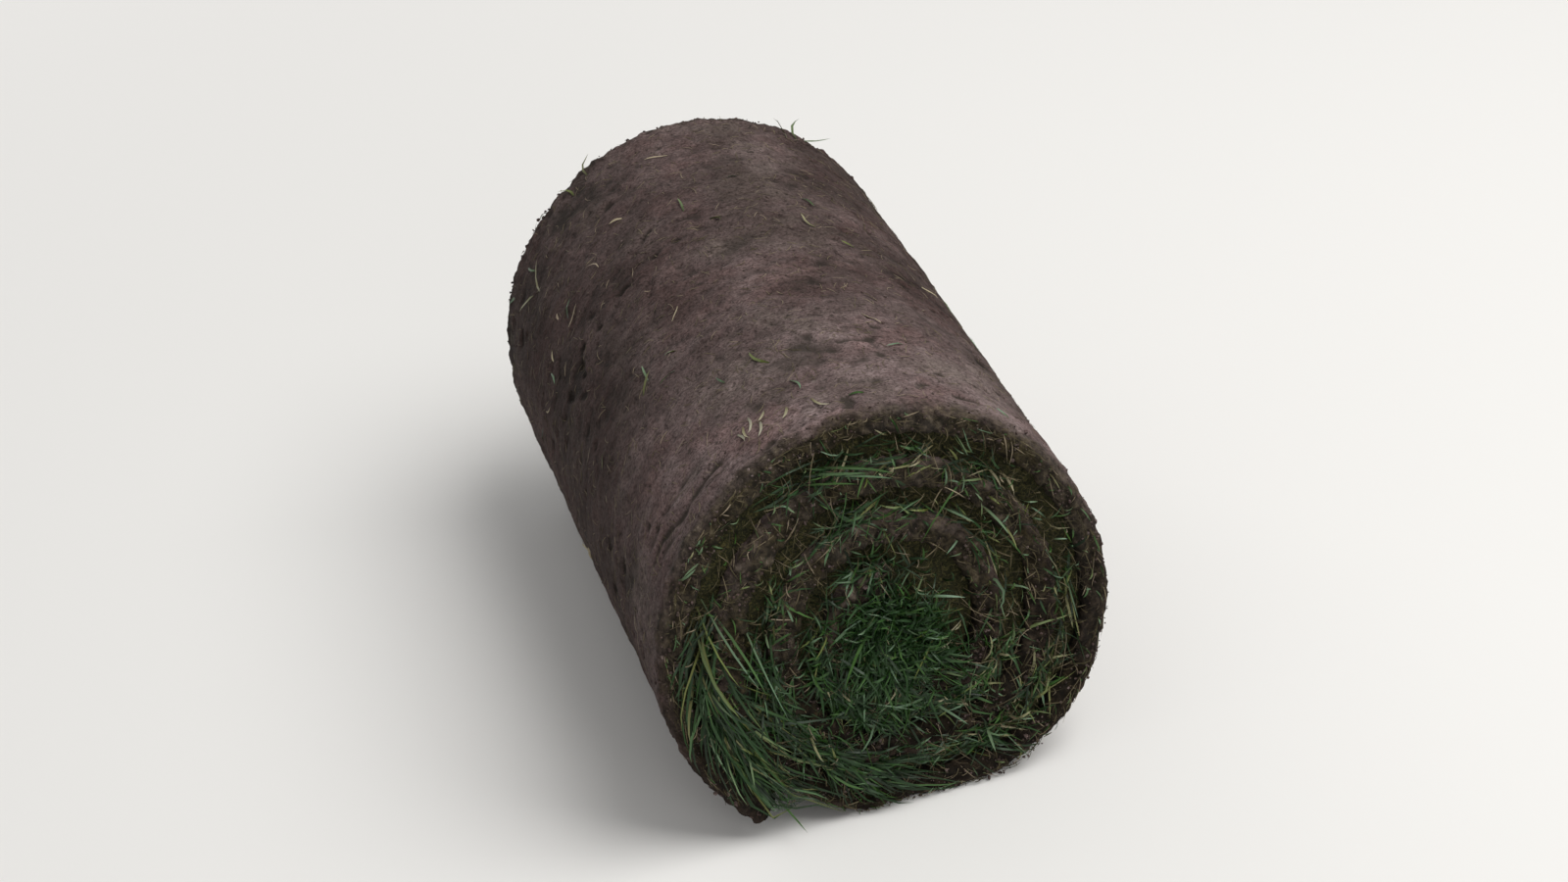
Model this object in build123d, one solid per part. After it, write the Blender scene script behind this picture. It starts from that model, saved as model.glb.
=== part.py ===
from build123d import *
import os
from collections import namedtuple
from math import acos, cos, degrees, pi, radians, sin

# A roll of turf: one strip of mown grass on its root-bound soil, wound with the soil outward.
# The roll lies along Y on a level floor, +Z up, and its near end faces -Y.
# Lengths are in millimetres. Angles are in degrees, anticlockwise from +X as seen from -Y. They
# give the way that the soil face looks at a place, and go on counting from turn to turn.

# The strip: soil with its roots, and the sward pressed between two turns of soil
strip_width = 400.0
soil_thickness = 16.0
sward_thickness = 15.0

# The winding, from the inner end in the core to the outer end at the lap
turns = 3.4
core_radius = 20.0
bore_diameter = 30.0
lap_direction = 228.0

# The outer end of the strip curls in onto the turn below it, open for a little way under its lip
lap_curl = 18.0
lap_undercut = 16.0
sward_web = 8.0

# The ends of the roll: every turn is shifted a little, so that both ends lean back by an angle,
# the soil's rim is worn off, and the sward lies back from the soil
end_lean = 8.0
rim_wear = 4.0
sward_recess = 12.0

# The underside, pressed level by the roll's own weight
foot_sag = 8.0
foot_bend_radius = 14.0

# How far a cut runs on past the face that it opens
overcut = 1.0

full_turn = degrees(2 * pi)
quarter = full_turn / 4
down = 3 * quarter
pitch = soil_thickness + sward_thickness
growth = pitch * quarter / full_turn
end_angle = lap_direction + full_turn * int(turns)
start_angle = end_angle - full_turn * turns

Arc = namedtuple("Arc", "centre radius first last")


def direction(angle):
    """Unit vector at an angle."""
    return Vector(cos(radians(angle)), sin(radians(angle)))


def is_down(angle):
    """Whether an angle looks straight down."""
    return abs(angle % full_turn - down) < 0.001


def round_winding():
    """The soil face as arcs of a quarter turn, each wider than the last and joined smoothly."""
    arcs = []
    centre = Vector(0, 0)
    past_quarter = start_angle % quarter / quarter
    radius = core_radius + soil_thickness + growth * (0.5 - past_quarter)
    first = start_angle
    while first < end_angle:
        last = min(quarter * (first // quarter + 1), end_angle)
        arcs.append(Arc(centre, radius, first, last))
        step = growth if last + quarter < end_angle else growth - lap_curl
        centre -= direction(last) * step
        radius += step
        first = last
    return arcs


def pressed_winding(arcs):
    """The same winding, with the underside of each turn pressed level and bent up to meet it."""
    low_radius = {arc.last: arc.radius for arc in arcs if is_down(arc.last)}
    widest = max(low_radius.values())
    pressed = []
    for arc in arcs:
        entering = arc.last in low_radius
        leaving = arc.first in low_radius
        if not entering and not leaving:
            pressed.append(arc)
            continue
        share = low_radius[arc.last if entering else arc.first] / widest
        bend_radius = soil_thickness + foot_bend_radius * share
        slack = arc.radius - bend_radius
        corner = degrees(acos(1 - foot_sag * share / slack))
        turned = arc.last - corner if entering else arc.first + corner
        bend_centre = arc.centre + direction(turned) * slack
        if entering:
            pressed.append(Arc(arc.centre, arc.radius, arc.first, turned))
            pressed.append(Arc(bend_centre, bend_radius, turned, arc.last))
        else:
            pressed.append(Arc(bend_centre, bend_radius, arc.first, turned))
            pressed.append(Arc(arc.centre, arc.radius, turned, arc.last))
    return pressed


winding = pressed_winding(round_winding())


def face_point(angle, depth):
    """Point at a depth below the soil face, where that face looks at an angle."""
    for arc in winding:
        if arc.first <= angle <= arc.last:
            return arc.centre + direction(angle) * (arc.radius - depth)


def face_edges(first, last, depth):
    """Edges along the strip at a depth below the soil face, level where the foot is pressed."""
    edges = []
    for arc in winding:
        begin = max(arc.first, first)
        end = min(arc.last, last)
        if end <= begin:
            continue
        radius = arc.radius - depth
        start = arc.centre + direction(begin) * radius
        if edges and (start - edges[-1] @ 1).length > 0.001:
            edges.append(Line(edges[-1] @ 1, start))
        edges.append(CenterArc(arc.centre, radius, begin, end - begin))
    return edges


def end_plane(side, setback):
    """Leaning plane at a distance in from the near end, side -1, or the far end, side 1."""
    out_of_end = Vector(0, side * cos(radians(end_lean)), -side * sin(radians(end_lean)))
    return Plane(origin=(0, side * (strip_width / 2 - setback), 0), z_dir=out_of_end)


def is_at_an_end(edge):
    """Whether an edge lies in one of the two end planes."""
    ends = end_plane(-1, 0), end_plane(1, 0)
    return min(abs((edge @ 0.5 - end.origin).dot(end.z_dir)) for end in ends) < 0.001


# Outline of the roll: once round the soil face, over the lip of the lap and in under it
lip_radius = winding[-1].radius - soil_thickness
undercut_angle = end_angle - degrees(lap_undercut / lip_radius)
outline = make_face([
    *face_edges(undercut_angle - full_turn, end_angle, 0),
    Line(face_point(end_angle, 0), face_point(end_angle, soil_thickness)),
    *face_edges(undercut_angle, end_angle, soil_thickness),
    Line(face_point(undercut_angle, soil_thickness), face_point(undercut_angle - full_turn, 0)),
])

# The grass between the turns and in the core
sward_end = undercut_angle - degrees(sward_web / lip_radius)
sward = make_face([
    *face_edges(start_angle, sward_end, soil_thickness),
    Line(face_point(sward_end, soil_thickness), face_point(sward_end - full_turn, 0)),
    *face_edges(start_angle, sward_end - full_turn, 0),
    Line(face_point(start_angle, 0), face_point(start_angle, soil_thickness)),
])

# Both are drawn out past the ends of the roll, to be cut back to the leaning end planes
half_run = strip_width / 2 + 2 * winding[-1].radius * sin(radians(end_lean)) + overcut
roll = extrude(Plane.XZ * outline, half_run, both=True)
for side in (-1, 1):
    roll = split(roll, end_plane(side, 0), keep=Keep.BOTTOM)

# Handling has worn the rim of the outer turn to a slope, apart from the cut lip of the lap
rim = []
for face in roll.faces():
    middle = face.center()
    away = Vector(middle.X, 0, middle.Z).normalized()
    if face.normal_at(middle).dot(away) > cos(radians(45)):
        rim += [edge for edge in face.edges() if is_at_an_end(edge)]
roll = chamfer(rim, rim_wear)

for side in (-1, 1):
    sward_run = extrude(Plane.XZ * sward, half_run, both=True)
    roll -= split(sward_run, end_plane(side, sward_recess), keep=Keep.TOP)

# The bore through the middle of the core
core_top = face_point(start_angle, soil_thickness)
core_bottom = face_point(start_angle + full_turn / 2, soil_thickness)
bore = Plane.XZ * Pos((core_top + core_bottom) / 2) * Circle(bore_diameter / 2)
roll -= extrude(bore, half_run, both=True)

# The origin lies on the floor, under the middle of the roll
box = roll.bounding_box()
roll = Pos(-box.center().X, -box.center().Y, -box.min.Z) * roll

os.makedirs("parts", exist_ok=True)
export_step(roll, "parts/turf_roll.step")
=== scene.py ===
from math import acos, cos, degrees, pi, radians, sin, tan

import bmesh
import bpy
import numpy as np
from mathutils import Matrix, Vector, noise


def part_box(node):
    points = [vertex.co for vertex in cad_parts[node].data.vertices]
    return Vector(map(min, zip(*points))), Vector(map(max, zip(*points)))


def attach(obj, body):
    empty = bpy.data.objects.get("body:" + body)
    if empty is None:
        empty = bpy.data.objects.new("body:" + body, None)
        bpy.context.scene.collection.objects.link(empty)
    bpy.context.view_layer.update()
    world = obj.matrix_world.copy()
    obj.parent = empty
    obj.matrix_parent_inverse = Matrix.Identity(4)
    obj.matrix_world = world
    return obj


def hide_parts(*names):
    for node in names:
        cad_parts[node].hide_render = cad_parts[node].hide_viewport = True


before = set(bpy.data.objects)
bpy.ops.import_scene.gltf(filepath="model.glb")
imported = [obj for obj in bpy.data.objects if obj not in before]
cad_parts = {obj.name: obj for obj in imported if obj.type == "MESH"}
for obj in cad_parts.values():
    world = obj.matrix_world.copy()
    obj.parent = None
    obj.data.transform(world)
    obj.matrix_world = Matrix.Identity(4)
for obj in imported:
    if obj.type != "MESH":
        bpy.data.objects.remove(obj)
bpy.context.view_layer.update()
bpy.context.scene.view_settings.view_transform = "Standard"

# The strip of turf and how it is wound.
# One strip, cut 400 mm wide, is soil held together by roots with the mown sward growing on it. It
# is rolled up soil outward, and lies on a foot that its own weight has pressed level.
strip_width = 0.400
soil_thickness = 0.016
sward_thickness = 0.015
turns = 3.4
core_radius = 0.020
bore_radius = 0.015
lap_direction = 228.0
lap_curl = 0.018
end_lean = 8.0
foot_sag = 0.008
foot_bend_radius = 0.014
arc_stations = 90
rim_stations = 400
same_angle = 0.001

full_turn = degrees(2 * pi)
quarter = full_turn / 4
down = 3 * quarter
growth = (soil_thickness + sward_thickness) / 4
lap_angle = lap_direction + full_turn * int(turns)
core_angle = lap_angle - full_turn * turns
half_width = strip_width / 2
lean = tan(radians(end_lean))


def outward(angle):
    """The way that the soil face looks at angles in degrees, as x and z."""
    return np.stack([np.cos(np.radians(angle)), np.sin(np.radians(angle))], axis=-1)


def round_arcs():
    """The soil face from the core to the lap, as arcs of centre, radius, first and last angle."""
    arcs = []
    centre = np.zeros(2)
    radius = core_radius + soil_thickness + growth * (0.5 - core_angle % quarter / quarter)
    first = core_angle
    while first < lap_angle:
        last = min(quarter * (first // quarter + 1), lap_angle)
        arcs.append((centre, radius, first, last))
        step = growth if last + quarter < lap_angle else growth - lap_curl
        centre = centre - outward(last) * step
        radius += step
        first = last
    return arcs


def pressed_arcs(arcs):
    """The same arcs, with the underside of each turn pressed level and bent up to meet it."""
    low_radius = {
        last: radius for _, radius, _, last in arcs if abs(last % full_turn - down) < same_angle}
    widest = max(low_radius.values())
    pressed = []
    for centre, radius, first, last in arcs:
        entering = last in low_radius
        if not entering and first not in low_radius:
            pressed.append((centre, radius, first, last))
            continue
        share = low_radius[last if entering else first] / widest
        bend_radius = soil_thickness + foot_bend_radius * share
        slack = radius - bend_radius
        corner = degrees(acos(1 - foot_sag * share / slack))
        turned = last - corner if entering else first + corner
        bend = centre + outward(turned) * slack
        if entering:
            pressed += [(centre, radius, first, turned), (bend, bend_radius, turned, last)]
        else:
            pressed += [(bend, bend_radius, first, turned), (centre, radius, turned, last)]
    return pressed


stations = []
for centre, radius, first, last in pressed_arcs(round_arcs()):
    for angle in np.linspace(first, last, arc_stations):
        stations.append((*(centre + outward(angle) * radius), angle))
station_x, station_z, station_angle = np.array(stations).T
station_along = np.append(0, np.cumsum(np.hypot(np.diff(station_x), np.diff(station_z))))
strip_length = station_along[-1]
# The angle stands still where two arcs join and along the level foot, so it is made to rise a hair
rising_angle = station_angle + station_along * 1e-9


def along_at(angle):
    """How far along the strip the soil face looks at angles, counted on from turn to turn."""
    return np.interp(angle, rising_angle, station_along)


def angle_at(along):
    """The way that the soil face looks, in degrees, at distances along the strip."""
    return np.interp(along, station_along, station_angle)


def rolled(along, across, deep):
    """Points of the roll at places on the flat strip: along it, across it and deep into it."""
    angle = np.radians(angle_at(along))
    x = np.interp(along, station_along, station_x) - deep * np.cos(angle)
    z = np.interp(along, station_along, station_z) - deep * np.sin(angle)
    return np.stack([x, across + z * lean, z], axis=-1) + home


# The outer turn fills the solid's box, which gives the place that the winding is drawn from
home = np.zeros(3)
outer_turn = along_at(lap_angle - full_turn)
rim_places = np.linspace(outer_turn, strip_length, rim_stations)
outline = np.concatenate([rolled(rim_places, side * half_width, 0) for side in (-1, 1)])
home = np.array(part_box("turf_roll")[0]) - outline.min(axis=0)


def leaning_y(across, z):
    """Where a place across the strip is at a height, as each turn is shifted along the roll."""
    return across + (z - home[2]) * lean + home[1]


# The soil of the outer turn, with its cut rims and the lip of the lap.
# It is loam felted through with fine roots. The cutter's blade left it smooth but brushed along the
# strip, dusty, crumbled at the rims, and still damp and dark where it was cut. It is drawn lighter on
# top and darker on its sides, underside and far end, partly as damp and partly as painted shade.
soil_cell = 0.00205
rim_steps = [0.002 * step for step in range(1, 9)]
rim_radius = 0.005
under_lip_radius = 0.004
lip_reach = 0.03
seam_overlap = 0.028
soil_clearance = 0.0004
hair = 1e-6

# Sizes of the lumps on its face, and how far each kind stands out or lies low
wave_size = 0.075
wave_height = 0.0012
clod_size = 0.018
clod_height = 0.0011
tuft_size = 0.009
tuft_height = 0.0006
tuft_stretch = [0.85, 1, 1]
pit_depth = 0.0019
pitted_size = 0.06
crumbled_size = 0.0055
crumbled_height = 0.0015
relief_unit = 0.002
thinned_size = 0.045
thinned_height = 0.0016

# The cut rims are ragged, and short creases run round the upper left of the near end
ragged_size = 0.017
ragged_height = 0.0028
ragged_cut = 0.0012
crease_places = [-0.183, -0.173, -0.157]
crease_depths = [0.0020, 0.0026, 0.0014]
crease_width = 0.0026
crease_wandering = 0.009

# Where it is drawn dry and lit, and where damp and in painted shade, with the near end lighter than
# the far one, and how the cut soil looks
dry_and_lit_direction = 93
dry_and_lit_at_near_end = 0.95
damp_and_shade_level = 0.70
# The dark damp soil colour also serves as painted shade in the hollows of the relief
damp_soil_and_shade = "36302a"
root_pale = "8f8278"
moist_and_shade_tint = "9c938e"
olive_tint = "c9c7a2"
dust_tones = [(0.32, "6a5b58"), (0.5, "867775"), (0.66, "a39492")]
tint_tones = [(0.36, "ecf0ea"), (0.5, "f6f4f5"), (0.62, "fdf1f1")]
grain_tones = [(0.32, "9b9592"), (0.5, "e8e5e3"), (0.66, "ffffff")]
felt_tones = [(0.28, "8f8987"), (0.42, "d6d2d0"), (0.66, "fdfaf9")]
cut_tones = [(0.3, "24221c"), (0.46, damp_soil_and_shade), (0.63, "5b5247"), (0.8, root_pale)]

# Felt tufts 5 mm, patches about 45 mm, tints 70 mm, specks 5 mm and grain 1.6 mm, as 1 / size. The
# real soil's grain and hair roots are finer than 0.5 mm, and are drawn this coarse so that they show.
felt_scale = (185, 210, 210)
patch_scale = (20, 24, 24)
tint_scale = (14, 16, 16)
speck_scale = (175, 200, 200)
grain_scale = (560, 640, 640)


def linear(hex_colour):
    """A colour written as sRGB hex, as the linear values that Blender takes."""
    values = [int(hex_colour[i:i + 2], 16) / 255 for i in (0, 2, 4)]
    return [v / 12.92 if v <= 0.04045 else ((v + 0.055) / 1.055) ** 2.4 for v in values] + [1.0]


def lumps(points, size, seed, octaves=1):
    """Smooth noise at points, from about -1 to 1, with lumps about as large as size."""
    shift = np.array([3.7, 11.9, 7.3]) * seed
    places = (points / size + shift).tolist()
    if octaves == 1:
        return np.array([noise.noise(place) for place in places])
    return np.array([noise.fractal(place, 0.8, 2.1, octaves) for place in places])


def smooth_step(values, low, high):
    """0 below low, 1 above high, and a smooth change between them."""
    share = np.clip((values - low) / (high - low), 0, 1)
    return share * share * (3 - 2 * share)


def round_corner(first, second, radius):
    """Two distances in from the sides of a corner, changed so that the corner is round."""
    inside = (first < radius) & (second < radius)
    reach = np.hypot(first - radius, second - radius)
    share = np.where(inside, radius / np.maximum(reach, 1e-9), 1)
    return radius + (first - radius) * share, radius + (second - radius) * share


def soil_relief(strip, inset, crumbled=crumbled_height):
    """How far the soil stands out or lies low at places on the flat strip, in metres."""
    along, across, deep = strip.T
    relief = wave_height * lumps(strip, wave_size, 1) + clod_height * lumps(strip, clod_size, 2, 3)
    relief += tuft_height * lumps(strip * tuft_stretch, tuft_size, 3)
    pits = smooth_step(lumps(strip * tuft_stretch, tuft_size, 4), 0.29, 0.52)
    pitted = smooth_step(lumps(strip, pitted_size, 5), -0.2, 0.5)
    relief -= pit_depth * pits * (0.15 + 0.85 * pitted)
    relief += crumbled * lumps(strip, crumbled_size, 6, 2) * (1 - smooth_step(inset, 0.002, 0.018))
    looks = angle_at(along) % full_turn
    shoulder = smooth_step(looks, 112, 126) * (1 - smooth_step(looks, 146, 166)) * (deep < 0.001)
    for place, depth in zip(crease_places, crease_depths):
        line = np.stack([along, along * 0 + place, along * 0], 1)
        middle = place + crease_wandering * lumps(line, 0.035, 15, 2)
        broken = smooth_step(lumps(line, 0.032, 18), -0.35, 0.15)
        relief -= depth * broken * shoulder * np.exp(-((across - middle) / crease_width) ** 2)
    return relief


def add_node(tree, kind, inputs=None, stops=None, out=0, **settings):
    """Adds a node with its settings, its inputs and a ramp's colour stops, and gives one output."""
    node = tree.nodes.new(kind)
    for name, value in settings.items():
        setattr(node, name, value)
    for name, value in (inputs or {}).items():
        if isinstance(value, bpy.types.NodeSocket):
            tree.links.new(value, node.inputs[name])
        else:
            node.inputs[name].default_value = value
    for number, (position, hex_colour) in enumerate(stops or []):
        elements = node.color_ramp.elements
        stop = elements[number] if number < 2 else elements.new(position)
        stop.position = position
        stop.color = linear(hex_colour)
    return node.outputs[out]


def new_material(name, roughness, specular=0.5):
    """A new material with nodes, as the material, its node tree and its shader."""
    material = bpy.data.materials.new(name)
    material.use_nodes = True
    tree = material.node_tree
    shader = tree.nodes["Principled BSDF"]
    shader.inputs["Roughness"].default_value = roughness
    shader.inputs["Specular IOR Level"].default_value = specular
    return material, tree, shader


# Root-bound loam: matt, with the brushed felt of fine roots, dusty patches, dark specks, damp cuts,
# painted shade in its pits and hollows, and damp sides that are partly painted shade
soil_material, tree, shader = new_material("root_bound_loam", roughness=0.96, specular=0.18)
strip_place = add_node(tree, "ShaderNodeAttribute", attribute_name="strip", out="Vector")
relief, damp_and_shade, cut = [
    add_node(tree, "ShaderNodeAttribute", attribute_name=name, out="Fac")
    for name in ("relief", "damp_and_shade", "cut")]
patterns = []
for scale, detail, roughness, distortion in (
        (felt_scale, 5.0, 0.6, 0.6), (patch_scale, 8.0, 0.7, 0.0), (speck_scale, 3.0, 0.65, 0.0),
        (tint_scale, 4.0, 0.7, 0.0), (grain_scale, 3.0, 0.65, 0.0)):
    place = add_node(tree, "ShaderNodeVectorMath", {0: strip_place, 1: scale}, operation="MULTIPLY")
    patterns.append(add_node(tree, "ShaderNodeTexNoise", {
        "Vector": place, "Scale": 1.0, "Detail": detail, "Roughness": roughness,
        "Distortion": distortion}))
felt, patches, specks, tints, grain = patterns

dust, tinted, grained, felted, cut_colour = [
    add_node(tree, "ShaderNodeValToRGB", {"Fac": pattern}, stops=tones)
    for pattern, tones in (
        (patches, dust_tones), (tints, tint_tones), (grain, grain_tones), (felt, felt_tones),
        (specks, cut_tones))]
# Painted shade: where the relief lies low, in pits and hollows, the soil is drawn in the dark damp soil
# colour
dark_specks, root_ends, painted_shade_in_hollows, mossy = [
    add_node(tree, "ShaderNodeMapRange", {
        "Value": value, "From Min": low, "From Max": high, "To Max": most})
    for value, low, high, most in (
        (specks, 0.4, 0.32, 0.8), (specks, 0.64, 0.74, 0.5), (relief, -0.25, -0.85, 0.9),
        (patches, 0.38, 0.6, 1.0))]
olive_cut = add_node(tree, "ShaderNodeMix", {
    "Factor": mossy, 6: cut_colour, 7: linear(olive_tint)},
    data_type="RGBA", blend_type="MULTIPLY", out=2)
# Layer by layer: dust, its tones, dark specks, ends of roots, painted shade in the hollows, cut soil,
# and damp that is partly painted shade on the sides and underside
soil_colour = dust
for share, colour, blend in (
        (1.0, tinted, "MULTIPLY"), (1.0, grained, "MULTIPLY"), (1.0, felted, "MULTIPLY"),
        (dark_specks, linear(damp_soil_and_shade), "MIX"), (root_ends, linear(root_pale), "MIX"),
        (painted_shade_in_hollows, linear(damp_soil_and_shade), "MIX"), (cut, olive_cut, "MIX"),
        (damp_and_shade, linear(moist_and_shade_tint), "MULTIPLY")):
    soil_colour = add_node(tree, "ShaderNodeMix", {
        "Factor": share, 6: soil_colour, 7: colour}, data_type="RGBA", blend_type=blend, out=2)
felt_bump = add_node(tree, "ShaderNodeBump", {"Height": felt, "Strength": 0.65, "Distance": 0.003})
grain_bump = add_node(tree, "ShaderNodeBump", {
    "Height": grain, "Strength": 0.5, "Distance": 0.0012, "Normal": felt_bump})
tree.links.new(soil_colour, shader.inputs["Base Color"])
tree.links.new(grain_bump, shader.inputs["Normal"])


def flat_sheet(low, high, cells_along, cells_across):
    """A flat grid between two corners, as a bmesh."""
    sheet = bmesh.new()
    size = Vector(high) - Vector(low)
    middle = Vector(low) + size / 2
    bmesh.ops.create_grid(
        sheet, x_segments=cells_along, y_segments=cells_across, size=0.5,
        matrix=Matrix.Translation((*middle, 0)) @ Matrix.Diagonal((*size, 1, 1)))
    return sheet


def extruded_rim(sheet, edges):
    """Extrudes the open edges of a flat sheet in place, and gives the new rim's vertices and edges."""
    made = bmesh.ops.extrude_edge_only(sheet, edges=edges)["geom"]
    rim = {item for item in made if isinstance(item, bmesh.types.BMVert)}
    return rim, [
        item for item in made if isinstance(item, bmesh.types.BMEdge) and rim.issuperset(item.verts)]


def add_piece(name, mesh, material):
    """A piece of the scene from a mesh, riding on the roll."""
    piece = bpy.data.objects.new(name, mesh)
    bpy.context.scene.collection.objects.link(piece)
    mesh.materials.append(material)
    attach(piece, "root")
    return piece


def new_piece(name, sheet, material):
    """A piece from a bmesh, standing for the solid of the roll."""
    mesh = bpy.data.meshes.new(name)
    sheet.to_mesh(mesh)
    sheet.free()
    piece = add_piece(name, mesh, material)
    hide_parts("turf_roll")
    return piece


def vertex_array(mesh, name="co"):
    """The places or normals of a mesh's vertices as an array."""
    values = np.zeros(len(mesh.vertices) * 3, np.float32)
    mesh.vertices.foreach_get(name, values)
    return values.reshape(-1, 3).astype(float)


def set_places(mesh, places):
    """Moves a mesh's vertices to new places, and shades it smooth."""
    mesh.vertices.foreach_set("co", places.astype(np.float32).ravel())
    mesh.update()
    mesh.shade_smooth()


def set_attribute(mesh, name, values):
    """Keeps one number or one vector for each vertex, for the material to read."""
    kind = "FLOAT" if values.ndim == 1 else "FLOAT_VECTOR"
    field = "value" if values.ndim == 1 else "vector"
    attribute = mesh.attributes.new(name, kind, "POINT")
    attribute.data.foreach_set(field, values.astype(np.float32).ravel())


def roll_up_soil(piece, strip, end_inset, lip_inset, corner=rim_radius, crumbled=crumbled_height):
    """Rolls a flat sheet of soil up and roughens it. Insets are from the nearest end and the lip."""
    along, across, deep = strip.T
    side = np.where(across < 0, -1, 1)
    ragged = ragged_cut + ragged_height * lumps(np.stack([along, side, deep], 1), ragged_size, 7, 4)
    end_inset, deep = round_corner(end_inset, deep, corner)
    end_inset, left = round_corner(end_inset, soil_thickness - deep, min(corner, under_lip_radius))
    lip_inset, deep = round_corner(lip_inset, soil_thickness - left, rim_radius)
    lip_inset, left = round_corner(lip_inset, soil_thickness - deep, under_lip_radius)
    deep = soil_thickness - left
    thinned = thinned_height * lumps(np.stack([along, side, deep * 0], 1), thinned_size, 8, 2)
    deep = deep - thinned * deep / soil_thickness
    across = side * (half_width - end_inset - ragged * (1 - smooth_step(end_inset, 0, 0.02)))
    along = np.where(lip_inset < lip_reach, strip_length - lip_inset, along)
    set_places(piece.data, rolled(along, across, deep))
    inset = np.minimum(end_inset, lip_inset)
    relief = soil_relief(strip, inset, crumbled)
    places = rolled(along, across, deep) + vertex_array(piece.data, "normal") * relief[:, None]
    places[:, 2] = np.maximum(places[:, 2], soil_clearance)
    set_places(piece.data, places)
    cut = 1 - smooth_step(inset + 0.006 * lumps(strip, 0.012, 9, 3), 0.001, 0.008)
    inner = smooth_step(deep, 0.002, 0.006)
    # Painted shade: the sides, the underside and the far end are drawn darker through the damp attribute,
    # partly as real damp and partly as shade where less light falls
    dry_and_lit = np.cos(np.radians(angle_at(along) - dry_and_lit_direction)) - damp_and_shade_level
    dry_and_lit += dry_and_lit_at_near_end * (1 - smooth_step(across, -0.2, -0.02))
    moist_and_shaded = 1 - smooth_step(dry_and_lit + 0.25 * lumps(strip, 0.05, 16, 3), -0.3, 1.1)
    set_attribute(piece.data, "strip", strip)
    set_attribute(piece.data, "relief", relief / relief_unit)
    set_attribute(piece.data, "damp_and_shade", np.maximum(moist_and_shaded, 0.35 * inner))
    set_attribute(piece.data, "cut", np.maximum(cut * 0.8, inner))


seam = outer_turn - seam_overlap
sheet = flat_sheet(
    (seam, -half_width), (strip_length, half_width),
    round((strip_length - seam) / soil_cell), round(strip_width / soil_cell))
edges = [
    edge for edge in sheet.edges
    if edge.is_boundary and max(vert.co.x for vert in edge.verts) > seam + hair]
for inset, deep in [(0, step) for step in rim_steps] + [(step, soil_thickness) for step in rim_steps]:
    rim, edges = extruded_rim(sheet, edges)
    for vert in rim:
        vert.co.x = min(vert.co.x, strip_length - inset)
        vert.co.y = max(inset - half_width, min(half_width - inset, vert.co.y))
        vert.co.z = deep
bmesh.ops.reverse_faces(sheet, faces=sheet.faces)
outer_soil = new_piece("outer_turn_of_soil", sheet, soil_material)
strip = vertex_array(outer_soil.data)
roll_up_soil(outer_soil, strip, half_width - np.abs(strip[:, 1]), strip_length - strip[:, 0])

# The soil of the inner turns, which shows as a spiral rib on both ends.
# The strip was cut square, so the rib is a cut face about 16 mm thick, crumbled along its edges.
rib_cell = 0.0018
rib_rows = 9
rib_corner = 0.0018
rib_crumbled = 0.0026
far_from_lip = 1.0
for side, name in ((-1, "near_spiral_of_soil"), (1, "far_spiral_of_soil")):
    sheet = flat_sheet((0, 0), (seam, soil_thickness), round(seam / rib_cell), rib_rows)
    edges = [
        edge for edge in sheet.edges
        if edge.is_boundary and min(vert.co.x for vert in edge.verts) < seam - hair]
    for inset in rim_steps[:-1]:
        rim, edges = extruded_rim(sheet, edges)
        for vert in rim:
            vert.co.z = inset
    if side == 1:
        bmesh.ops.reverse_faces(sheet, faces=sheet.faces)
    rib = new_piece(name, sheet, soil_material)
    along, deep, inset = vertex_array(rib.data).T
    strip = np.stack([along, side * (half_width - inset), deep], axis=1)
    roll_up_soil(rib, strip, inset, np.full(len(inset), far_from_lip), rib_corner, rib_crumbled)

# The mat of the sward between the turns, which closes the gaps and the core some way in.
# It is pressed thatch of dead stems, moss and the bases of blades, which grew on the strip and were
# flattened as it was rolled up.
mat_inset = 0.008
mat_length = strip_width - 2 * mat_inset
mat_cell = 0.0025
mat_rows = 9
mat_clearance = 0.001
into_soil = 0.002
into_inner_turn = 0.005
bore_cells = 44
bore_cell = 0.004
lap_wall_inset = 0.013
lap_wall_depth = 0.024
lap_wall_cell = 0.003
thatch_tones = [(0.36, "1c1b12"), (0.52, "30301b"), (0.7, "5d5634")]

# Pressed thatch: dull and rough, olive brown and nearly black in the gaps, with straw stems 2.4 mm
# across, which are finer in the real mat and are drawn this coarse so that they show
thatch_material, tree, shader = new_material("pressed_thatch", roughness=0.92, specular=0.2)
place = add_node(tree, "ShaderNodeTexCoord", out="Object")
stems = add_node(tree, "ShaderNodeTexNoise", {
    "Vector": place, "Scale": 420.0, "Detail": 4.0, "Roughness": 0.7, "Distortion": 1.2})
thatch_colour = add_node(tree, "ShaderNodeValToRGB", {"Fac": stems}, stops=thatch_tones)
stem_bump = add_node(tree, "ShaderNodeBump", {"Height": stems, "Strength": 0.8, "Distance": 0.002})
tree.links.new(thatch_colour, shader.inputs["Base Color"])
tree.links.new(stem_bump, shader.inputs["Normal"])

core_top = rolled(0.0, 0.0, soil_thickness)
core_bottom = rolled(along_at(core_angle + full_turn / 2), 0.0, soil_thickness)
bore_centre = (core_top + core_bottom) / 2
first_turn = along_at(core_angle + full_turn)


def gap_places(along, share, side, inset):
    """Points in the gap inside a turn of soil, share 0 at that turn and 1 at the turn within it."""
    across = side * (half_width - inset)
    face = rolled(along, across, soil_thickness - into_soil)
    within = rolled(along, across, soil_thickness + sward_thickness + into_inner_turn)
    bore_x, bore_z = (bore_centre[[0, 2]] + bore_radius * outward(angle_at(along))).T
    bore = np.stack([bore_x, leaning_y(across, bore_z), bore_z], axis=-1)
    inner = np.where((along < first_turn)[:, None], bore, within)
    return face + (inner - face) * share[:, None]


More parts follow.
